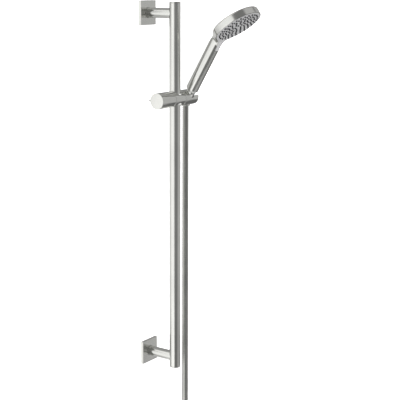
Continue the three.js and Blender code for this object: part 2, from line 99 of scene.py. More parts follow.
rail_axis = middle("rail_tube")
slider_middle = middle("clamp_block")
slider_z = slider_middle.z
socket = Vector((SOCKET_X, rail_axis.y - SOCKET_FORWARD, slider_z))
lean_frame = Matrix.Translation(socket) @ Matrix.Rotation(LEAN, 4, "X")

# Handset frame: +Z up the handle, +Y towards the wall. The head's face is a disc in it.
face_middle = np.array([0, HEAD_FORWARD, HEAD_UP])
face_up = np.array([0, -math.sin(HEAD_BEND), math.cos(HEAD_BEND)])
face_back = np.array([0, math.cos(HEAD_BEND), math.sin(HEAD_BEND)])
face_low = face_middle - HEAD_RADIUS * face_up
neck_low = np.array([0, -HANDLE_RADIUS, face_low[2] - NECK_LENGTH])
neck_up = (face_low - neck_low) / np.linalg.norm(face_low - neck_low)
neck_back = np.array([0, neck_up[2], -neck_up[1]])


# ---- Camera ------------------------------------------------------------------------------------
def add_camera():
    """Long lens on the left, near the height of the rail's top, looking slightly down."""
    lens_length, film_width = 97, 36
    place = (-1.9284, -1.4717, 0.0774)
    turned, down, rolled = -55.516, 11.684, 0.279
    data = bpy.data.cameras.new("camera")
    data.lens = lens_length
    data.sensor_width = film_width
    camera = bpy.data.objects.new("camera", data)
    camera.location = place
    heading = Matrix.Rotation(math.radians(turned), 3, "Z")
    tip = Matrix.Rotation(math.radians(90 - down), 3, "X")
    roll = Matrix.Rotation(math.radians(rolled), 3, "Z")
    camera.rotation_euler = (heading @ tip @ roll).to_euler()
    bpy.context.scene.collection.objects.link(camera)
    bpy.context.scene.camera = camera


add_camera()


# ---- Materials ---------------------------------------------------------------------------------
class Nodes:
    """A material's node tree, with short calls for the nodes that the finishes share."""

    def __init__(self, name, colour, metallic, roughness):
        self.material = bpy.data.materials.new(name)
        self.material.use_nodes = True
        self.tree = self.material.node_tree
        self.shader = self.tree.nodes["Principled BSDF"]
        self.shader.inputs["Base Color"].default_value = (*colour, 1)
        self.shader.inputs["Metallic"].default_value = metallic
        self.shader.inputs["Roughness"].default_value = roughness

    def add(self, kind, **values):
        node = self.tree.nodes.new(kind)
        for key, value in values.items():
            setattr(node, key, value)
        return node

    def link(self, source, target):
        self.tree.links.new(source, target)

    def noise(self, scale, detail=3, stretch=(1, 1, 1)):
        place = self.add("ShaderNodeTexCoord")
        mapping = self.add("ShaderNodeMapping")
        mapping.inputs["Scale"].default_value = stretch
        self.link(place.outputs["Object"], mapping.inputs["Vector"])
        noise = self.add("ShaderNodeTexNoise")
        noise.inputs["Scale"].default_value = scale
        noise.inputs["Detail"].default_value = detail
        self.link(mapping.outputs["Vector"], noise.inputs["Vector"])
        return noise.outputs["Fac"]

    def ramp(self, source, low, high, start=0.3, end=0.7):
        ramp = self.add("ShaderNodeMapRange")
        ramp.inputs["From Min"].default_value = start
        ramp.inputs["From Max"].default_value = end
        ramp.inputs["To Min"].default_value = low
        ramp.inputs["To Max"].default_value = high
        self.link(source, ramp.inputs["Value"])
        return ramp.outputs["Result"]

    def tint(self, source, first, second):
        mix = self.add("ShaderNodeMix", data_type="RGBA")
        mix.inputs["A"].default_value = (*first, 1)
        mix.inputs["B"].default_value = (*second, 1)
        self.link(source, mix.inputs["Factor"])
        self.link(mix.outputs["Result"], self.shader.inputs["Base Color"])

    def bump(self, source, strength, distance):
        bump = self.add("ShaderNodeBump")
        bump.inputs["Strength"].default_value = strength
        bump.inputs["Distance"].default_value = distance
        self.link(source, bump.inputs["Height"])
        self.link(bump.outputs["Normal"], self.shader.inputs["Normal"])


def brushed_metal(name, stretch, light=(0.735, 0.737, 0.705), dark=(0.665, 0.667, 0.64), roughness=0.15):
    """Metal with fine brush lines that run along the axis whose stretch is small, and faint clouding."""
    nodes = Nodes(name, light, 1, roughness)
    lines = nodes.noise(scale=900, detail=4, stretch=stretch)
    clouds = nodes.noise(scale=14, detail=3)
    nodes.tint(nodes.ramp(clouds, low=0, high=1), light, dark)
    nodes.link(nodes.ramp(lines, roughness - 0.03, roughness + 0.05), nodes.shader.inputs["Roughness"])
    nodes.bump(lines, strength=0.05, distance=0.00004)
    return nodes.material


def moulded_plastic(name, light, dark, roughness, grain=1500, strength=0.12):
    """Plastic with a fine spark-eroded grain and slight colour variation."""
    nodes = Nodes(name, light, 0, roughness)
    clouds = nodes.noise(scale=30, detail=3)
    nodes.tint(nodes.ramp(clouds, low=0, high=1), light, dark)
    speckle = nodes.noise(scale=grain, detail=2)
    nodes.link(nodes.ramp(speckle, roughness - 0.05, roughness + 0.08), nodes.shader.inputs["Roughness"])
    nodes.bump(speckle, strength, distance=0.00005)
    return nodes.material


def machined_metal(name, light, dark, roughness):
    """Plain turned steel or brass with uneven polish."""
    nodes = Nodes(name, light, 1, roughness)
    wear = nodes.noise(scale=120, detail=5)
    nodes.tint(nodes.ramp(wear, low=0, high=1), light, dark)
    nodes.link(nodes.ramp(wear, roughness - 0.07, roughness + 0.12), nodes.shader.inputs["Roughness"])
    nodes.bump(nodes.noise(scale=1400, detail=2), strength=0.08, distance=0.00005)
    return nodes.material


# How far the brush lines' noise is stretched along each axis: the smaller, the longer the lines.
along_z = (1, 1, 0.02)
along_x = (0.02, 1, 1)
along_y = (1, 0.02, 1)
along_handle = (1, 0.3, 0.05)
evenly = (1, 1, 1)
nickel_z = brushed_metal("nickel_rail", along_z)
nickel_x = brushed_metal("nickel_slider", along_x)
nickel_y = brushed_metal("nickel_arm", along_y)
nickel_round = brushed_metal("nickel_turned", evenly, roughness=0.17)
nickel_handset = brushed_metal("nickel_handset", along_handle, light=(0.675, 0.677, 0.648),
                               dark=(0.61, 0.612, 0.587), roughness=0.14)
# The hose's nickel is darker than the rail's: partly its own tone, partly painted shade that stands in for
# the self-shadowing in its rib grooves.
nickel_hose_rib_shade = brushed_metal("nickel_hose_rib_shade", evenly, light=(0.50, 0.501, 0.478),
                            dark=(0.41, 0.411, 0.392), roughness=0.2)
steel = machined_metal("steel", (0.60, 0.61, 0.62), (0.50, 0.51, 0.52), 0.32)
brass = machined_metal("brass", (0.74, 0.60, 0.33), (0.62, 0.49, 0.25), 0.3)
grey_plastic = moulded_plastic("grey_plastic", (0.345, 0.345, 0.347), (0.315, 0.315, 0.318), 0.42)
white_plastic = moulded_plastic("white_plastic", (0.78, 0.78, 0.76), (0.72, 0.72, 0.70), 0.45)
black_plastic = moulded_plastic("black_plastic", (0.022, 0.022, 0.024), (0.035, 0.035, 0.037), 0.42)
silicone = moulded_plastic("silicone", (0.022, 0.022, 0.024), (0.04, 0.04, 0.042), 0.62,
                           grain=2400, strength=0.25)


# ---- Mesh helpers ------------------------------------------------------------------------------
def finish_mesh(name, points, faces, material, smooth=SMOOTH_ANGLE):
    """Object from points and faces, shaded smooth except at edges sharper than the smooth angle."""
    mesh = bpy.data.meshes.new(name)
    mesh.from_pydata([tuple(p) for p in points], [], faces)
    mesh.validate()
    piece = bpy.data.objects.new(name, mesh)
    bpy.context.scene.collection.objects.link(piece)
    mesh.materials.append(material)
    sharpen(mesh, smooth)
    return piece


def sharpen(mesh, smooth):
    """Shades all faces smooth and marks edges as sharp where the faces turn by more than the angle."""
    for polygon in mesh.polygons:
        polygon.use_smooth = True
    work = bmesh.new()
    work.from_mesh(mesh)
    bmesh.ops.recalc_face_normals(work, faces=work.faces)
    limit = math.radians(smooth)
    for edge in work.edges:
        edge.smooth = not (edge.is_manifold and edge.calc_face_angle(0) > limit)
    work.to_mesh(mesh)
    work.free()


def rounded(profile, radius, steps=4):
    """Profile of [r, z] points with each corner off the axis turned into a small arc."""
    made = []
    count = len(profile)
    most = 0.45
    for i, point in enumerate(profile):
        here = Vector(point)
        before, after = Vector(profile[i - 1]), Vector(profile[(i + 1) % count])
        turn_in, turn_out = before - here, after - here
        room = min(radius, most * turn_in.length, most * turn_out.length)
        if here.x < NEAR_ZERO or room < NEAR_ZERO:
            made.append(here)
            continue
        start = here + turn_in.normalized() * room
        end = here + turn_out.normalized() * room
        for k in range(steps + 1):
            t = k / steps
            made.append(start * (1 - t) ** 2 + here * 2 * t * (1 - t) + end * t * t)
    return made


def lathe(name, profile, material, place=Matrix.Identity(4), segments=72, radius=0.5 * MM,
          smooth=SMOOTH_ANGLE):
    """Solid of revolution about Z. The profile runs from the axis back to the axis, or round in a ring."""
    outline = rounded(profile, radius)
    points, rows = [], []
    for p in outline:
        if p.x < NEAR_ZERO:
            rows.append([len(points)] * segments)
            points.append(Vector((0, 0, p.y)))
            continue
        rows.append(range(len(points), len(points) + segments))
        for k in range(segments):
            angle = 2 * math.pi * k / segments
            points.append(Vector((p.x * math.cos(angle), p.x * math.sin(angle), p.y)))
    closed = profile[0][0] > NEAR_ZERO
    faces = []
    for i in range(len(rows) if closed else len(rows) - 1):
        first, second = rows[i], rows[(i + 1) % len(rows)]
        for k in range(segments):
            n = (k + 1) % segments
            corners = [first[k], first[n], second[n], second[k]]
            face = [c for j, c in enumerate(corners) if c != corners[j - 1]]
            if len(face) > 2:
                faces.append(face)
    return finish_mesh(name, [place @ p for p in points], faces, material, smooth)


def rod_profile(radius, low, high):
    """Lathe profile of a plain round rod."""
    return [(0, low), (radius, low), (radius, high), (0, high)]


def cut(piece, *tools):
    """Takes the tools out of the piece and deletes them."""
    for tool in tools:
        modifier = piece.modifiers.new("cut", "BOOLEAN")
        modifier.operation = "DIFFERENCE"
        modifier.solver = "EXACT"
        modifier.object = tool
    bpy.context.view_layer.update()
    graph = bpy.context.evaluated_depsgraph_get()
    made = bpy.data.meshes.new_from_object(piece.evaluated_get(graph))
    piece.modifiers.clear()
    piece.data = made
    for tool in tools:
        bpy.data.objects.remove(tool)
    sharpen(made, SMOOTH_ANGLE)


def block(name, low, high, place=Matrix.Identity(4), material=nickel_z):
    """Box between two corners, in the frame of its place."""
    ends = list(zip(low, high))
    corners = [Vector((x, y, z)) for x in ends[0] for y in ends[1] for z in ends[2]]
    faces = [(0, 1, 3, 2), (4, 6, 7, 5), (0, 4, 5, 1), (2, 3, 7, 6), (0, 2, 6, 4), (1, 5, 7, 3)]
    return finish_mesh(name, [place @ c for c in corners], faces, material)


def bevel(piece, width, segments=3):
    """Rounds the piece's sharp edges."""
    modifier = piece.modifiers.new("bevel", "BEVEL")
    modifier.width = width
    modifier.segments = segments
    modifier.limit_method = "ANGLE"
    modifier.harden_normals = True


def turn_x(place):
    """Frame at a place whose Z runs along the row's X."""
    return Matrix.Translation(place) @ Matrix.Rotation(math.pi / 2, 4, "Y")


def turn_out(place):
    """Frame at a place whose Z runs out of the wall."""
    return Matrix.Translation(place) @ Matrix.Rotation(math.pi / 2, 4, "X")


def dress(piece, body, slot, *nodes):
    """Puts the piece on its body, in place of the frame's nodes given. The material slot is not used."""
    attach(piece, body)
    if nodes:
        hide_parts(*nodes)


# ---- Hose --------------------------------------------------------------------------------------
def hose_route():
    """Points along the hose: straight down from the holder, then three runs folded as a hank."""
    x, y = SOCKET_X, HOSE_Y
    low, high = -1165 * MM, -983.6 * MM
    step = 1.1 * MM
    run = [(x, y, z) for z in (-0.203, -0.35, -0.5, -0.65, -0.8, -0.9453, low)]
    across = -2 * FOLD_RADIUS
    side = 21 * MM
    lines = [run, [(x, y + across, low), (x, y + across, high)], [(x + side, y, high), (x + side, y, low)]]

    def fold(start, end, down):
        a, b = Vector(start), Vector(end)
        centre, arm = (a + b) / 2, (a - b) / 2
        drop = Vector((0, 0, -arm.length if down else arm.length))
        count = round(math.pi * arm.length / step)
        angles = [math.pi * k / count for k in range(1, count)]
        return [centre + arm * math.cos(t) + drop * math.sin(t) for t in angles]

    def straight(corners):
        made = []
        for a, b in zip(map(Vector, corners), map(Vector, corners[1:])):
            count = max(1, round((b - a).length / step))
            made += [a.lerp(b, k / count) for k in range(count)]
        return made + [Vector(corners[-1])]

    route = straight(lines[0]) + fold(lines[0][-1], lines[1][0], True)
    route += straight(lines[1]) + fold(lines[1][-1], lines[2][0], False)
    return route + straight(lines[2])


def ribbed_tube(name, path, radii, sides, material):
    """Closed tube whose ring radii repeat along the path."""
    points, faces = [], []
    side = Vector((1, 0, 0))
    for i, centre in enumerate(path):
        ahead = (path[min(i + 1, len(path) - 1)] - path[max(i - 1, 0)]).normalized()
        side = (side - ahead * side.dot(ahead)).normalized()
        up = ahead.cross(side)
        radius = radii[i % len(radii)]
        for k in range(sides):
            angle = 2 * math.pi * k / sides
            points.append(centre + (side * math.cos(angle) + up * math.sin(angle)) * radius)
        if i:
            first, second = (i - 1) * sides, i * sides
            for k in range(sides):
                n = (k + 1) % sides
                faces.append((first + k, first + n, second + n, second + k))
    faces.append(tuple(range(sides))[::-1])
    faces.append(tuple(range(len(points) - sides, len(points))))
    return finish_mesh(name, points, faces, material, 75)


def add_hose():
    route = hose_route()
    groove, flank = 6.6 * MM, 7.15 * MM
    ribs = [groove, flank, HOSE_RADIUS, flank]
    # The hose's material carries painted shade for its rib grooves on top of its own darker tone.
    hose = ribbed_tube("hose", route, ribs, 20, nickel_hose_rib_shade)
    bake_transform(hose)
    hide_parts("shower_hose", "hose_hank")
    return hose, route


hose, hose_path = add_hose()


def add_hose_end():
    """Crimped ferrule with grooves and a knurled nut with a smooth collar."""
    top = hose_path[-1]
    place = Matrix.Translation((top.x, top.y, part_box("hose_end_ferrule")[1].z))
    ferrule_profile = [(4.5, -24.5), (9, -24.5), (9, -22), (6.4, -22), (6.4, -15), (8.6, -15),
                       (8.6, -10.6), (8.0, -10.2), (8.0, -9.4), (8.6, -9), (8.6, -6), (8.0, -5.6),
                       (8.0, -4.8), (8.6, -4.4), (8.6, -1), (8.2, 0), (4.5, 0)]
    ferrule = lathe("hose_crimp", scaled(ferrule_profile), nickel_round, place, radius=0.25 * MM)
    dress(ferrule, "slider", "nut_nickel", "hose_end_ferrule")
    nut = fluted_nut("connector_nut", place, outer=12 * MM, bore=9.4 * MM, neck=6.9 * MM,
                     low=-39 * MM, high=-16.4 * MM, shelf=-21.6 * MM)
    dress(nut, "end_nut", "nut_nickel", "hose_end_nut")
    return ferrule, nut


def scaled(profile):
    """Profile in millimetres turned into metres."""
    return [(r * MM, z * MM) for r, z in profile]


def fluted_nut(name, place, outer, bore, neck, low, high, shelf):
    """Round nut with shallow grip flutes between two smooth bands."""
    segments, flutes = 96, 16
    flute_depth = 0.55 * MM
    rises = [0, 0.6 * MM, 5 * MM, 6 * MM]
    drops = [5 * MM, 4 * MM, 0.8 * MM, 0]
    levels = [low + rise for rise in rises] + [high - drop for drop in drops]
    grip = [0, 0, 0, 1, 1, 0, 0, 0]
    inset = [0.6 * MM, 0, 0, 0, 0, 0, 0, 0.8 * MM]
    rings = [(bore, shelf, 0), (bore, low, 0)]
    rings += [(outer - i, z, g) for z, g, i in zip(levels, grip, inset)]
    rings += [(neck, high, 0), (neck, shelf, 0)]
    points, faces = [], []
    for radius, z, fluted in rings:
        for k in range(segments):
            angle = 2 * math.pi * k / segments
            reach = radius - flute_depth * fluted * (0.5 - 0.5 * math.cos(flutes * angle))
            points.append(place @ Vector((reach * math.cos(angle), reach * math.sin(angle), z)))
    for i in range(len(rings)):
        first, second = i * segments, (i + 1) % len(rings) * segments
        for k in range(segments):
            n = (k + 1) % segments
            faces.append((first + k, first + n, second + n, second + k))
    return finish_mesh(name, points, faces, nickel_round, 35)


hose_crimp, connector_nut = add_hose_end()


def add_tie():
    """Flat strap round the hank, with chamfered edges and a shallow groove round its middle."""
    low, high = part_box("hose_tie")
    centre, half = (low + high) / 2, (high - low) / 2
    corner = 2.5 * MM
    wall = 1.6 * MM
    steps = 6
    outline = []
    for cx, cy, turn in ((1, 1, 0), (-1, 1, 1), (-1, -1, 2), (1, -1, 3)):
        for k in range(steps + 1):
            angle = math.pi / 2 * (turn + k / steps)
            outline.append((cx * (half.x - corner) + corner * math.cos(angle),
                            cy * (half.y - corner) + corner * math.sin(angle)))
    insets = [(-1, 0.5), (-0.85, 0), (-0.3, 0), (-0.2, 0.45), (0.2, 0.45), (0.3, 0), (0.85, 0), (1, 0.5)]
    rings = [(half.z * share, inset * MM) for share, inset in insets] + [(half.z, wall), (-half.z, wall)]
    points, faces = [], []
    count = len(outline)
    for z, inset in rings:
        for x, y in outline:
            fx, fy = 1 - inset / half.x, 1 - inset / half.y
            points.append(centre + Vector((x * fx, y * fy, z)))
    for i in range(len(rings)):
        first, second = i * count, (i + 1) % len(rings) * count
        for k in range(count):
            n = (k + 1) % count
            faces.append((first + k, first + n, second + n, second + k))
    tie = finish_mesh("hank_strap", points, faces, black_plastic, 40)
    dress(tie, "slider", "black_plastic", "hose_tie")
    return tie


tie = add_tie()


# ---- Rail and wall brackets --------------------------------------------------------------------
def add_rail():
    low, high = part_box("rail_tube")
    axis = Matrix.Translation((rail_axis.x, rail_axis.y, 0))
    bore = RAIL_RADIUS - RAIL_WALL
    profile = [(bore, low.z), (RAIL_RADIUS, low.z), (RAIL_RADIUS, high.z), (bore, high.z)]
    tube = lathe("rail", profile, nickel_z, axis, 96, 0.3 * MM)
    dress(tube, "rail_frame", "rail_nickel", "rail_tube")
    gap = 0.3 * MM
    stem = bore - gap
    stem_length = 6 * MM
    caps = [("rail_cap_top", "rail_top_cap", high.z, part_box("rail_top_cap")[1].z),
            ("rail_cap_bottom", "rail_bottom_cap", low.z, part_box("rail_bottom_cap")[0].z)]
    for name, node, seat, end in caps:
        out = 1 if end > seat else -1
        inner, shoulder = seat - out * stem_length, seat + out * gap
        profile = [(0, inner), (stem, inner), (stem, shoulder), (RAIL_RADIUS, shoulder), (RAIL_RADIUS, end),
                   (0, end)]
        cap = lathe(name, profile, nickel_z, axis, 96, 1.1 * MM)
        dress(cap, "rail_frame", "rail_nickel", node)


def add_bracket(prefix):
    """Square cover plate, round arm with its set screw hole, and the set screw with its socket."""
    low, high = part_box(f"{prefix}_rosette")
    centre = (low + high) / 2
    place = turn_out((centre.x, 0, centre.z))
    half = (high.x - low.x) / 2
    depth = -low.y
    cover = block(f"{prefix}_cover", (-half, -half, 0), (half, half, depth), place, nickel_round)
    inner = half - 2.2 * MM
    inner_depth = depth - 1.6 * MM
    hollow = block("tool", (-inner, -inner, -MM), (inner, inner, inner_depth), place)
    opening = lathe("tool", rod_profile(ARM_RADIUS + 0.3 * MM, -MM, 20 * MM), nickel_y, place)
    cut(cover, hollow, opening)
    bevel(cover, 0.7 * MM)
    dress(cover, "rail_frame", "bracket_nickel", f"{prefix}_rosette")

    start = -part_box(f"{prefix}_arm")[1].y
    arm_end = -rail_axis.y - 4 * MM
    arm = lathe(f"{prefix}_wall_arm", rod_profile(ARM_RADIUS, start, arm_end), nickel_y, place, 96)
    saddle_place = Matrix.Translation((rail_axis.x, rail_axis.y, centre.z))
    saddle_profile = rod_profile(RAIL_RADIUS + 0.15 * MM, -30 * MM, 30 * MM)
    saddle = lathe("tool", saddle_profile, nickel_y, saddle_place, 96)
    screw_low, screw_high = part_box(f"{prefix}_grub_screw")
    screw = (screw_low + screw_high) / 2
    flip = math.pi if screw.z < centre.z else 0
    hole_place = Matrix.Translation((screw.x, screw.y, centre.z)) @ Matrix.Rotation(flip, 4, "X")
    hole = lathe("tool", rod_profile(2.8 * MM, 7 * MM, 14 * MM), nickel_y, hole_place, 32)
    bore = lathe("tool", rod_profile(8 * MM, 0, 50 * MM), nickel_y, place, 48)
    cut(arm, saddle, hole, bore)
    dress(arm, "rail_frame", "bracket_nickel", f"{prefix}_arm")

    length = screw_high.z - screw_low.z
    top = abs(screw.z - centre.z) + length / 2
    grub_profile = rod_profile(2.5 * MM, top - length, top)
    grub = lathe(f"{prefix}_set_screw", grub_profile, steel, hole_place, 32, 0.3 * MM)
    socket_tool = lathe("tool", rod_profile(1.45 * MM, top - 1.8 * MM, top + MM), steel, hole_place, 6, 0)
    cut(grub, socket_tool)
    dress(grub, "rail_frame", "screw_steel", f"{prefix}_grub_screw")


add_rail()
add_bracket("upper")
add_bracket("lower")


# ---- Slider and holder -------------------------------------------------------------------------
def add_slider():
    along = turn_x((0, rail_axis.y, slider_z))
    through = Matrix.Translation((0, rail_axis.y, slider_z))
    low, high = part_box("clamp_block")
    block_low, block_high = -high.x, high.x
    body_profile = rod_profile(SLIDER_RADIUS, block_low, block_high)
    body = lathe("slider_block", body_profile, nickel_x, along, 96, SLIDER_EDGE)
    cut(body, lathe("tool", rod_profile(SLEEVE_RADIUS + 0.3 * MM, -30 * MM, 30 * MM), nickel_x, through, 72))
    spigot = lathe("slider_spigot", rod_profile(12 * MM, low.x, block_low + 0.5 * MM), nickel_x, along, 48)
    dress(spigot, "slider", "slider_nickel")
    dress(body, "slider", "slider_nickel", "clamp_block")

    sleeve_low, sleeve_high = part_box("grip_sleeve")
    sleeve_bore = RAIL_RADIUS + 0.3 * MM
    ring = [(sleeve_bore, sleeve_low.z), (SLEEVE_RADIUS, sleeve_low.z), (SLEEVE_RADIUS, sleeve_high.z),
            (sleeve_bore, sleeve_high.z)]
    sleeve = lathe("rail_sleeve", ring, white_plastic, Matrix.Translation((0, rail_axis.y, 0)), 64)
    dress(sleeve, "sleeve", "white_plastic", "grip_sleeve")

    knob_low, knob_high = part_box("clamp_knob")
    mouth = knob_high.x
    end = knob_low.x
    bore, bottom = 14 * MM, end + 4 * MM
    profile = [(0, end), (SLIDER_RADIUS, end), (SLIDER_RADIUS, mouth), (bore, mouth), (bore, bottom),
               (0, bottom)]
    knob = lathe("knob", profile, nickel_x, along, 96, SLIDER_EDGE)
    dress(knob, "knob", "slider_nickel", "clamp_knob")
    pin_low, pin_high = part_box("knob_lever_pin")
    pin_middle = (pin_low + pin_high) / 2
    root, tip = sorted((pin_low.y, pin_high.y), key=lambda y: abs(y - rail_axis.y))
    turn = Matrix.Rotation(math.pi / 2 if tip < root else -math.pi / 2, 4, "X")
    place = Matrix.Translation((pin_middle.x, rail_axis.y, pin_middle.z)) @ turn
    near, far = abs(root - rail_axis.y), abs(tip - rail_axis.y)
    foot, point = 2.6 * MM, 1.5 * MM
    profile = [(0, near - MM), (foot, near - MM), (foot, near), (point, far), (0, far)]
    pin = lathe("knob_pin", profile, nickel_round, place, 32, 0.5 * MM)
    dress(pin, "knob", "slider_nickel", "knob_lever_pin")


def add_holder():
    along = turn_x((0, rail_axis.y, slider_z))
    low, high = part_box("holder_barrel")
    reach = 40 * MM

    def slot_tool(place, low, high):
        return block("tool", (0, -SLOT_HALF, low), (reach, SLOT_HALF, high), place, nickel_x)

    barrel = lathe("holder", rod_profile(SLIDER_RADIUS, low.x, high.x), nickel_x, along, 96, SLIDER_EDGE)
    socket_tool = lathe("tool", rod_profile(SOCKET_RADIUS, -reach, reach), black_plastic, lean_frame, 72)
    cut(barrel, socket_tool, slot_tool(lean_frame, -reach, reach))
    dress(barrel, "holder", "slider_nickel", "holder_barrel")

    liner_ring = [(10.3, -17), (11.3, -17), (11.3, 17), (10.95, 17), (10.95, 12), (10.3, 0)]
    liner = lathe("holder_liner", scaled(liner_ring), black_plastic, lean_frame, 72, 0.2 * MM)
    skin, beyond = SLIDER_RADIUS - 0.5 * MM, 60 * MM
    around = [(skin, -0.1), (beyond, -0.1), (beyond, 0.2), (skin, 0.2)]
    outside = lathe("tool", around, black_plastic, along, 96, 0)
    opening = slot_tool(lean_frame, -reach, reach)
    bolt_tool = lathe("tool", rod_profile(6.6 * MM, 0, 36 * MM), black_plastic, along, 32)
    cut(liner, outside, opening, bolt_tool)
    dress(liner, "holder", "black_plastic", "socket_liner")

    collar_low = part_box("holder_collar")[0]
    hang = Matrix.Translation((socket.x, hose_path[0].y, slider_z))
    rim = collar_low.z - slider_z
    bore, outer = 9.3 * MM, 10.5 * MM
    ring = [(bore, rim), (outer, rim), (outer, 0), (bore, 0)]
    collar = lathe("hose_collar", ring, nickel_z, hang, 64, 0.35 * MM)
    inside = lathe("tool", rod_profile(SLIDER_RADIUS - 0.3 * MM, 0, 100 * MM), nickel_x, along, 96)
    cut(collar, inside, slot_tool(hang, -50 * MM, MM))
    dress(collar, "holder", "slider_nickel", "holder_collar")


add_slider()
add_holder()


# ---- Cone nut and the hose's end inside the holder ---------------------------------------------
def add_hose_nut():
    """Cone nut under the handset, and the bent tail that joins it to the hanging hose."""
    rings = [(6.4, -8), (10, -8), (10, 0), (10.7, 12), (10.7, 17.4), (10.3, 17.8), (10.3, 18.4),
             (10.7, 18.8), (10.7, 21.2), (8.7, 21.2), (8.7, 7), (6.4, 3)]
    nut = lathe("hose_nut_cone", scaled(rings), nickel_round, lean_frame, 72, 0.3 * MM)
    dress(nut, "hose_nut", "nut_nickel", "cone_nut")
    start = lean_frame @ Vector((0, 0, -7 * MM))
    end = hose_path[0] + Vector((0, 0, -4 * MM))
    down = (lean_frame.to_3x3() @ Vector((0, 0, -1))).normalized()
    pull = 12 * MM
    a, b = start + down * pull, end + Vector((0, 0, pull))
    count = 24
    route = []
    for k in range(count + 1):
        t = k / count
        s = 1 - t
        route.append(start * s ** 3 + a * 3 * t * s ** 2 + b * 3 * t * t * s + end * t ** 3)
    radius = 6.7 * MM
    tail = ribbed_tube("hose_sleeve", route, [radius], 24, black_plastic)
    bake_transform(tail)


add_hose_nut()


# ---- Handset -----------------------------------------------------------------------------------
def smooth_max(a, b, blend):
    """The larger of two distances, rounded over where they are nearly equal."""
    h = np.maximum(blend - np.abs(a - b), 0) / blend
    return np.maximum(a, b) + h * h * blend / 4


def smooth_min(a, b, blend):
    return -smooth_max(-a, -b, blend)


def head_place(p):
    """Across, along and depth of points in the head's own frame, depth being 0 at the face."""
    offset = p - face_middle
    return offset[..., 0], offset @ face_up, offset @ face_back


def neck_depth(p):
    """Distance behind the neck's slanted flat."""
    return (p - face_low) @ neck_back


def front_cut(p):
    """Positive in front of both the face plane and the neck's slanted front, which meet in a hollow."""
    _, _, depth = head_place(p)
    hollow = 8 * MM
    return smooth_min(-depth, -neck_depth(p), hollow)


def outer_form(p):
    """Distance to the handset's outside: a round handle that flows into the disc of the head."""
    across, along, depth = head_place(p)
    reach = np.sqrt(across ** 2 + along ** 2)
    corner = 3.5 * MM
    rise = 1.5 * MM
    handle_top, neck_start = 180 * MM, 140 * MM
    end_blend, neck_blend, front_edge = 6 * MM, 12 * MM, 1.2 * MM
    well_inside = -20 * MM
    crown = rise * (1 - (reach / HEAD_RADIUS) ** 2)
    side = np.maximum(reach - (HEAD_RADIUS - corner), 0)
    back = np.maximum(depth - crown - (HEAD_DEPTH - corner), 0)
    head = np.sqrt(side ** 2 + back ** 2) - corner
    handle = np.sqrt(p[..., 0] ** 2 + p[..., 1] ** 2) - HANDLE_RADIUS
    handle = smooth_max(handle, p[..., 2] - handle_top, end_blend)
    behind = depth - HEAD_DEPTH - rise
    handle = smooth_max(handle, np.where(p[..., 2] > neck_start, behind, well_inside), end_blend)
    return smooth_max(smooth_min(head, handle, neck_blend), front_cut(p), front_edge)


def insert_outline(p):
    """Distance to the outline of the light insert, a disc with a tail, laid over face and neck."""
    across, along, _ = head_place(p)
    below = (p - face_low) @ neck_up
    along = np.where(on_neck(p), below - HEAD_RADIUS, along)
    disc = np.sqrt(across ** 2 + along ** 2) - (HEAD_RADIUS - RIM)
    corner = 3 * MM
    tail_blend = 18 * MM
    beside = np.maximum(np.abs(across) - (TAIL_HALF - corner), 0)
    under = np.maximum(TAIL_END + corner - along, 0)
    tail = np.sqrt(beside ** 2 + under ** 2) - corner
    tail = np.where(along > 0, np.maximum(tail, along), tail)
    return smooth_min(disc, tail, tail_blend)


def on_neck(p):
    """True below the foot of the face."""
    return p[..., 2] < face_low[2]


def behind_front(p):
    """Positive further back than the insert's recess may reach."""
    _, _, depth = head_place(p)
    neck_limit, head_limit = -3 * MM, 4 * MM
    return np.where(on_neck(p), p[..., 1] - neck_limit, depth - head_limit)


def shell_form(p):
    """The metal-coloured body: the outside, less the bore in the handle's end and the insert's recess."""
    bore_radius, bore_end = 8.7 * MM, 45 * MM
    neck_recess, head_recess = 3.3 * MM, 2.5 * MM
    foot_edge = 0.8 * MM
    outside = outer_form(p)
    body = smooth_max(outside, HANDLE_START - p[..., 2], foot_edge)
    bore = np.sqrt(p[..., 0] ** 2 + p[..., 1] ** 2) - bore_radius
    bore = np.maximum(bore, p[..., 2] - bore_end)
    recess_depth = np.where(on_neck(p), neck_recess, head_recess)
    recess = np.maximum(insert_outline(p) - SEAM, np.maximum(-outside - recess_depth, behind_front(p)))
    return np.maximum(np.maximum(body, -bore), -recess)


def insert_form(p, thickness):
    """Skin of the insert, set just below the handset's outside and clear of its recess."""
    sunk, clear, edge = 0.1 * MM, 0.2 * MM, 0.5 * MM
    skin = np.maximum(outer_form(p) + sunk, -outer_form(p) - thickness)
    skin = np.maximum(skin, behind_front(p) + clear)
    return smooth_max(skin, insert_outline(p), edge)


def face_form(p):
    """The round part of the insert, down to the seam at the foot of the face."""
    thickness, gap = 2.2 * MM, 0.1 * MM
    return np.maximum(insert_form(p, thickness), gap - (p - face_low) @ neck_up)


def button_form(p):
    """The neck's part of the insert, from the seam under the face down to its foot."""
    thickness, gap = 1.5 * MM, 0.3 * MM
    return np.maximum(insert_form(p, thickness), (p - face_low) @ neck_up + gap)


def slopes(form, points, small):
    """Gradient of the form at the points."""
    return np.stack([(form(points + small * axis) - form(points - small * axis)) / (2 * small)
                     for axis in np.eye(3)], -1)


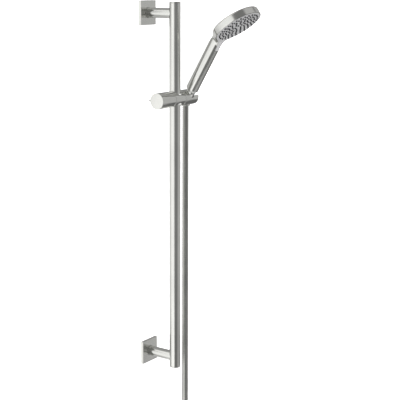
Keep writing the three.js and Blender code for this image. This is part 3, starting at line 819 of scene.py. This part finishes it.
def isosurface(name, form, axes, material, smooth=32):
    """Mesh of form = 0 on a box grid with axes in mm, by dual contouring, which keeps edges crisp."""
    probe = 0.01 * MM
    steadiness = 0.02
    axes = [np.asarray(a) * MM for a in axes]
    counts = np.array([len(a) for a in axes])
    grid = np.stack(np.meshgrid(*axes, indexing="ij"), -1)
    value = form(grid)
    cells = counts - 1
    owners, places, normals, quads = [], [], [], []
    for axis in range(3):
        u, v = (axis + 1) % 3, (axis + 2) % 3
        span = [slice(1, c - 1) for c in counts]
        span[axis] = slice(0, counts[axis] - 1)
        ahead = list(span)
        ahead[axis] = slice(1, counts[axis])
        first, second = value[tuple(span)], value[tuple(ahead)]
        where = np.argwhere((first < 0) != (second < 0))
        share = first[tuple(where.T)] / (first[tuple(where.T)] - second[tuple(where.T)])
        base = where + [0 if i == axis else 1 for i in range(3)]
        place = grid[tuple(base.T)].copy()
        reach = axes[axis][base[:, axis] + 1] - axes[axis][base[:, axis]]
        place[:, axis] += share * reach
        normal = slopes(form, place, probe)
        normal /= np.maximum(np.linalg.norm(normal, axis=1, keepdims=True), 1e-9)
        quad = []
        for du, dv in ((0, 0), (-1, 0), (-1, -1), (0, -1)):
            cell = base.copy()
            cell[:, u] += du
            cell[:, v] += dv
            quad.append(np.ravel_multi_index(tuple(cell.T), tuple(cells)))
        quad = np.stack(quad, 1)
        owners.append(quad.ravel())
        places.append(np.repeat(place, 4, axis=0))
        normals.append(np.repeat(normal, 4, axis=0))
        out = first[tuple(where.T)] < 0
        quad[~out] = quad[~out][:, ::-1]
        quads.append(quad)
    used, owner = np.unique(np.concatenate(owners), return_inverse=True)
    place, normal = np.concatenate(places), np.concatenate(normals)

    def total(weights):
        return np.bincount(owner, weights, len(used))

    hits = np.bincount(owner, minlength=len(used))
    centre = np.stack([total(place[:, i]) for i in range(3)], -1) / hits[:, None]
    pull = (normal * (place - centre[owner])).sum(1)
    products = [[total(normal[:, i] * normal[:, j]) for j in range(3)] for i in range(3)]
    square = np.array(products).transpose(2, 0, 1)
    wanted = np.stack([total(normal[:, i] * pull) for i in range(3)], -1)
    square += steadiness * hits[:, None, None] * np.eye(3)
    points = centre + np.linalg.solve(square, wanted[..., None])[..., 0]
    cell = np.stack(np.unravel_index(used, tuple(cells)), -1)
    for i in range(3):
        points[:, i] = np.clip(points[:, i], axes[i][cell[:, i]], axes[i][cell[:, i] + 1])
    faces = np.searchsorted(used, np.concatenate(quads))
    row = np.array(lean_frame)
    points = points @ row[:3, :3].T + row[:3, 3]
    return finish_mesh(name, points, faces.tolist(), material, smooth)


def spread(*stops):
    """Grid lines: a start and step for each stretch, and the last stretch's end."""
    lines = []
    for (start, step), (end, _) in zip(stops, stops[1:]):
        lines += list(np.arange(start, end - step / 2, step))
    return lines + [stops[-1][0]]


def add_handset():
    """Body, select button and face, each on its own grid in mm in the handset's frame, and the nozzles."""
    step = 0.8
    shell_axes = [spread((-58, step), (58, 0)), spread((-60, step), (18, 0)),
                  spread((19, 0.5), (24, 2.5), (126, step), (262, 0))]
    shell = isosurface("handset_body", shell_form, shell_axes, nickel_handset)
    dress(shell, "handset", "handset_nickel", "handset_shell")
    fine = 0.5
    button_axes = [spread((-24, fine), (24, 0)), spread((-17, fine), (0, 0)), spread((122, fine), (160, 0))]
    button = isosurface("spray_select_button", button_form, button_axes, grey_plastic)
    dress(button, "select_button", "grey_plastic", "select_button")
    face_axes = [spread((-56, step), (56, 0)), spread((-60, step), (-3, 0)), spread((150, step), (260, 0))]
    face = isosurface("spray_face", face_form, face_axes, grey_plastic)
    dress(face, "handset", "grey_plastic", "face_plate")
    turn = lean_frame @ Matrix.Translation(face_middle) @ Matrix(
        [(1, 0, 0, 0), (0, face_up[1], -face_back[1], 0), (0, face_up[2], -face_back[2], 0), (0, 0, 0, 1)])
    add_nozzles(turn)


def add_nozzles(turn):
    """Soft nozzles in rings, each a short tapered tube with a round lip and an open tip."""
    profile = [(2.2, -0.9), (2.2, 0.0), (1.9, 0.5), (1.6, 2.4), (1.3, 2.8), (0.7, 2.7), (0.5, 0.6)]
    segments = 14
    sunk = 0.4
    points, faces = [], []
    rings = [(8.5, 5), (16, 10), (23.5, 14), (31, 18), (38.5, 23), (46, 28)]
    for ring, (radius, count) in enumerate(rings):
        for k in range(count):
            angle = 2 * math.pi * (k + 0.5 * (ring % 2)) / count
            centre = Vector((radius * math.cos(angle), radius * math.sin(angle), 0))
            first = len(points)
            for r, z in profile:
                for s in range(segments):
                    turn_angle = 2 * math.pi * s / segments
                    local = centre + Vector((r * math.cos(turn_angle), r * math.sin(turn_angle), z - sunk))
                    points.append(turn @ (local * MM))
            for i in range(len(profile) - 1):
                a, b = first + i * segments, first + (i + 1) * segments
                for s in range(segments):
                    n = (s + 1) % segments
                    faces.append((a + s, a + n, b + n, b + s))
            faces.append(tuple(range(first, first + segments))[::-1])
            last = first + (len(profile) - 1) * segments
            faces.append(tuple(range(last, last + segments)))
    nozzles = finish_mesh("spray_nozzles", points, faces, silicone, 50)
    dress(nozzles, "handset", "rubber", "nozzle_mat")


add_handset()


# ---- Finishes of the frame's own nodes that stay -----------------------------------------------
def finish_nodes():
    finishes = {"screw_steel": steel, "brass": brass, "black_plastic": black_plastic, "rubber": silicone,
                "white_plastic": white_plastic, "grey_plastic": grey_plastic, "nut_nickel": nickel_round,
                "rail_nickel": nickel_z, "bracket_nickel": nickel_y, "slider_nickel": nickel_x,
                "handset_nickel": nickel_handset, "hose_nickel": nickel_hose_rib_shade}
    slots = {row["node"]: row["material_slot"] for row in frame["record"]["subparts"]}
    for name, node in frame["nodes"].items():
        node.data.materials.clear()
        node.data.materials.append(finishes[slots[name]])


finish_nodes()


# ---- Stage and light ---------------------------------------------------------------------------
def add_stage():
    """Pale floor and backdrop in one sweep, below the hose even with the slider at its lowest.

    Mirrors in the metal look past it at the sky.
    """
    glow = 0.55
    room = 30 * MM
    floor_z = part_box("hose_end_nut")[0].z - SLIDER_DROP - room
    radius, bend, height = 9, 2.5, 7
    steps = 12
    profile = [(0, floor_z)]
    for k in range(steps + 1):
        angle = math.pi / 2 * k / steps
        profile.append((radius - bend + bend * math.sin(angle), floor_z + bend - bend * math.cos(angle)))
    profile.append((radius, floor_z + height))
    points, faces = [Vector((0, 0, floor_z))], []
    segments = 96
    angles = [2 * math.pi * k / segments for k in range(segments)]
    for r, z in profile[1:]:
        points += [Vector((r * math.cos(angle), r * math.sin(angle), z)) for angle in angles]
    for k in range(segments):
        n = (k + 1) % segments
        faces.append((0, 1 + k, 1 + n))
        for i in range(len(profile) - 2):
            a, b = 1 + i * segments, 1 + (i + 1) * segments
            faces.append((a + k, a + n, b + n, b + k))
    paper = Nodes("backdrop", (0.9, 0.9, 0.9), 0, 0.9)
    paper.shader.inputs["Emission Color"].default_value = (1, 1, 1, 1)
    paper.shader.inputs["Emission Strength"].default_value = glow
    floor = finish_mesh("floor", points, faces, paper.material, 60)
    floor.visible_glossy = False
    floor.visible_shadow = False


def add_sky():
    """Soft studio round the object: bright on the left, a dark flag in front, mid grey on the right."""
    world = bpy.data.worlds.new("studio")
    bpy.context.scene.world = world
    world.use_nodes = True
    tree = world.node_tree
    background = tree.nodes["Background"]
    place = tree.nodes.new("ShaderNodeTexCoord")
    split = tree.nodes.new("ShaderNodeSeparateXYZ")
    tree.links.new(place.outputs["Generated"], split.inputs["Vector"])

    def maths(kind, a, b=None):
        node = tree.nodes.new("ShaderNodeMath")
        node.operation = kind
        for socket_in, value in zip(node.inputs, (a, b)):
            if isinstance(value, (int, float)):
                socket_in.default_value = value
            elif value is not None:
                tree.links.new(value, socket_in)
        return node.outputs["Value"]

    def ramp(source, stops):
        node = tree.nodes.new("ShaderNodeValToRGB")
        elements = node.color_ramp.elements
        for i, (where, level) in enumerate(stops):
            element = elements[i] if i < 2 else elements.new(where)
            element.position = where
            element.color = (level, level, level, 1)
        tree.links.new(source, node.inputs["Fac"])
        return node.outputs["Color"]

    # Azimuth 0 is straight out of the wall and 90 towards +X, as a share of a full turn from -180.
    azimuth = maths("ARCTAN2", split.outputs["X"], maths("MULTIPLY", split.outputs["Y"], -1))
    turn = maths("ADD", maths("DIVIDE", azimuth, 2 * math.pi), 0.5)

    def band(*stops):
        return ramp(turn, [((degrees + 180) / 360, level) for degrees, level in stops])

    level_band = band((-180, 0.62), (-165, 0.64), (-136, 0.9), (-110, 1.0), (-85, 0.97), (-70, 0.85),
                      (-62, 0.22), (-40, 0.19), (-2, 0.18), (10, 0.40), (75, 0.45), (95, 0.37),
                      (120, 0.42), (150, 0.62), (180, 0.62))
    low_band = band((-180, 0.42), (-144, 0.42), (-134, 0.95), (-90, 1.1), (-68, 1.0), (-60, 0.17),
                    (-10, 0.15), (10, 0.34), (58, 0.34), (66, 0.13), (128, 0.13), (142, 0.42), (180, 0.42))
    upper_band = band((-180, 0.50), (-147, 0.48), (-138, 0.40), (-129, 0.92), (-108, 1.0), (-86, 0.97),
                      (-74, 0.85), (-64, 0.22), (-2, 0.18), (10, 0.40), (80, 0.45), (104, 0.36),
                      (118, 0.24), (150, 0.24), (162, 0.50), (180, 0.50))
    high_band = band((-180, 0.30), (-160, 0.40), (-146, 0.95), (-84, 0.85), (-75, 0.24), (-60, 0.2),
                     (-10, 0.2), (2, 0.5), (60, 0.52), (67, 0.3), (74, 0.17), (88, 0.42), (102, 0.2),
                     (140, 0.3), (180, 0.30))
    nadir_band = band((-180, 0.95), (180, 0.95))

    def mixed(first, second, start, end):
        """First below the start height of the direction's Z, second above the end height."""
        step = tree.nodes.new("ShaderNodeMapRange")
        step.interpolation_type = "SMOOTHSTEP"
        step.inputs["From Min"].default_value = start
        step.inputs["From Max"].default_value = end
        tree.links.new(split.outputs["Z"], step.inputs["Value"])
        mix = tree.nodes.new("ShaderNodeMix")
        mix.data_type = "RGBA"
        tree.links.new(step.outputs["Result"], mix.inputs["Factor"])
        tree.links.new(first, mix.inputs["A"])
        tree.links.new(second, mix.inputs["B"])
        return mix.outputs["Result"]

    under = mixed(mixed(nadir_band, low_band, -0.84, -0.79), level_band, -0.42, -0.34)
    light = mixed(mixed(under, upper_band, -0.02, 0.04), high_band, 0.46, 0.52)
    strength = 1.25
    tree.links.new(light, background.inputs["Color"])
    background.inputs["Strength"].default_value = strength


def add_lamp(name, location, size, power):
    """Soft square lamp aimed near the rail's middle, unseen in the metal."""
    target = Vector((0, rail_axis.y, -0.35))
    data = bpy.data.lights.new(name, "AREA")
    data.size = size
    data.energy = power
    lamp = bpy.data.objects.new(name, data)
    lamp.location = location
    aim = target - Vector(location)
    lamp.rotation_euler = aim.to_track_quat("-Z", "Y").to_euler()
    lamp.visible_glossy = False
    bpy.context.scene.collection.objects.link(lamp)


add_stage()
add_sky()
add_lamp("key", location=(-1.6, -2.2, 1.4), size=1.6, power=26)
add_lamp("fill", location=(2.0, -1.2, 0.2), size=2.0, power=10)
bpy.context.scene.view_settings.view_transform = "Standard"
